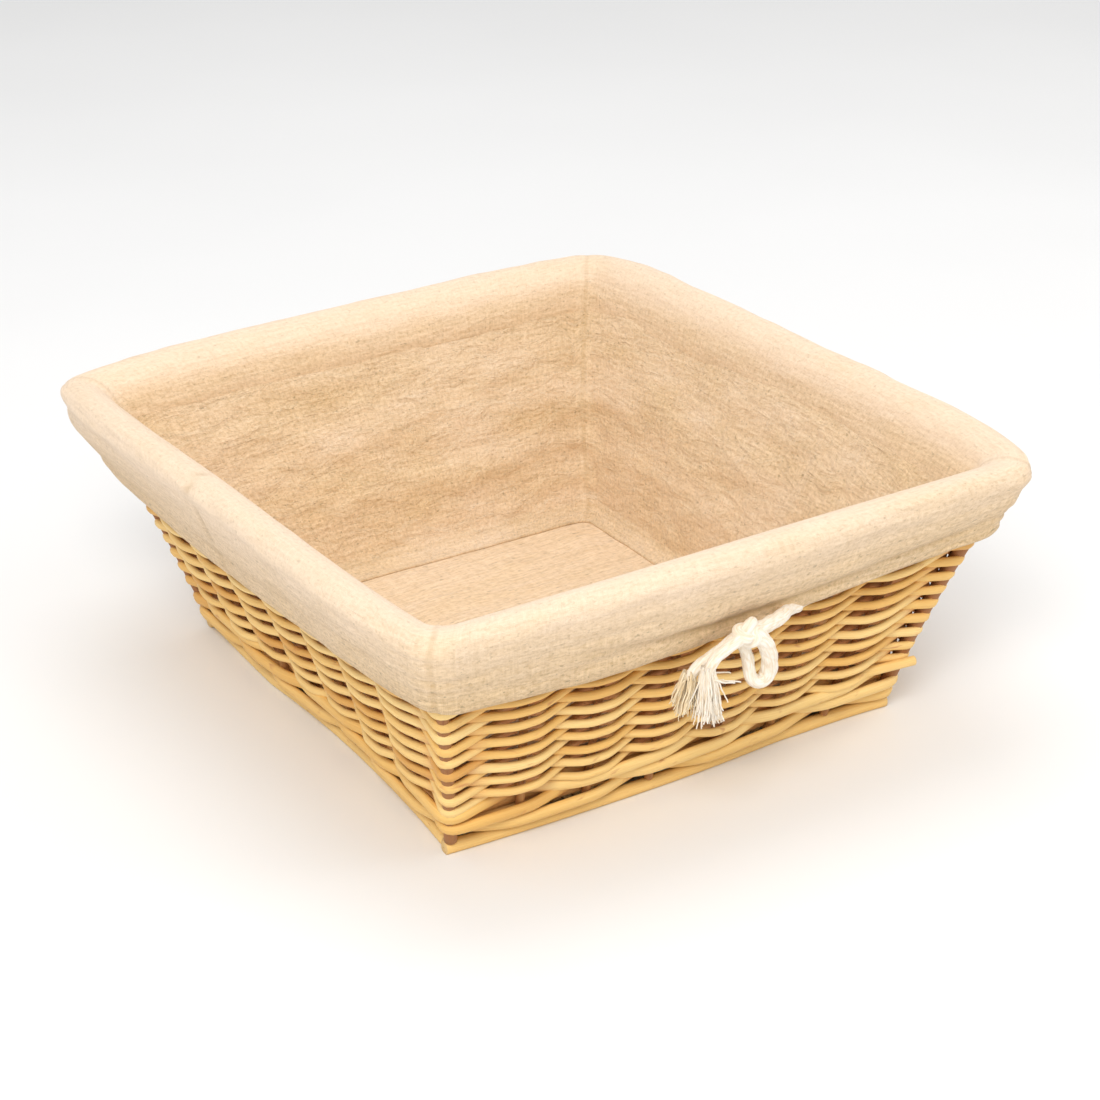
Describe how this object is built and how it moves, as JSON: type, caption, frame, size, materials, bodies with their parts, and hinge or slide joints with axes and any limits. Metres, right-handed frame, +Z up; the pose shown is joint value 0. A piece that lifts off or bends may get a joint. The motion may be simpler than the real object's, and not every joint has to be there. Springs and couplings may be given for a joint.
{
  "type": "bread basket",
  "caption": "Square flared wicker bread basket with a lift-out cotton liner whose edge folds over the rim and is held by a tied drawstring.",
  "frame": {"origin": "on the surface that the basket stands on, under the middle of the rim", "axes": "+Z up, -Y towards the side with the tied drawstring, +X to its right as seen from the front"},
  "size_m": [0.3512, 0.4109, 0.15],
  "materials": {
    "willow": "peeled buff willow rods, satin",
    "willow_stake": "thicker buff willow rods, satin",
    "cotton_cloth": "unbleached slubby cotton, matt",
    "cotton_cord": "soft white twisted cotton cord, matt"
  },
  "bodies": {
    "basket": {"foot_rod_front": "willow", "foot_rod_right": "willow", "foot_rod_back": "willow", "foot_rod_left": "willow", "base_sticks": "willow_stake", "base_weave": "willow", "post_front_left": "willow_stake", "post_front_right": "willow_stake", "post_back_right": "willow_stake", "post_back_left": "willow_stake", "stakes_front": "willow_stake", "stakes_right": "willow_stake", "stakes_back": "willow_stake", "stakes_left": "willow_stake", "wale_front": "willow_stake", "wale_right": "willow_stake", "wale_back": "willow_stake", "wale_left": "willow_stake", "weave_front": "willow", "weave_right": "willow", "weave_back": "willow", "weave_left": "willow", "border_front": "willow", "border_right": "willow", "border_back": "willow", "border_left": "willow"},
    "liner": {"liner_base": "cotton_cloth", "liner_wall_front": "cotton_cloth", "liner_wall_right": "cotton_cloth", "liner_wall_back": "cotton_cloth", "liner_wall_left": "cotton_cloth", "cuff_front": "cotton_cloth", "cuff_right": "cotton_cloth", "cuff_back": "cotton_cloth", "cuff_left": "cotton_cloth", "drawstring_in_casing": "cotton_cord", "drawstring_lead_left": "cotton_cord", "drawstring_lead_right": "cotton_cord", "drawstring_knot": "cotton_cord", "drawstring_loop": "cotton_cord", "drawstring_tail_a": "cotton_cord", "drawstring_tail_b": "cotton_cord", "tassel_a": "cotton_cord", "tassel_b": "cotton_cord"}
  },
  "joints": [
    {"name": "liner_lift", "type": "slide", "parent": "basket", "child": "liner", "axis": [0, 0, 1], "range_m": [0, 0.22], "deforming": ["cuff_front", "cuff_right", "cuff_back", "cuff_left", "drawstring_in_casing", "drawstring_lead_left", "drawstring_lead_right", "drawstring_knot", "drawstring_loop", "drawstring_tail_a", "drawstring_tail_b", "tassel_a", "tassel_b"]}
  ]
}
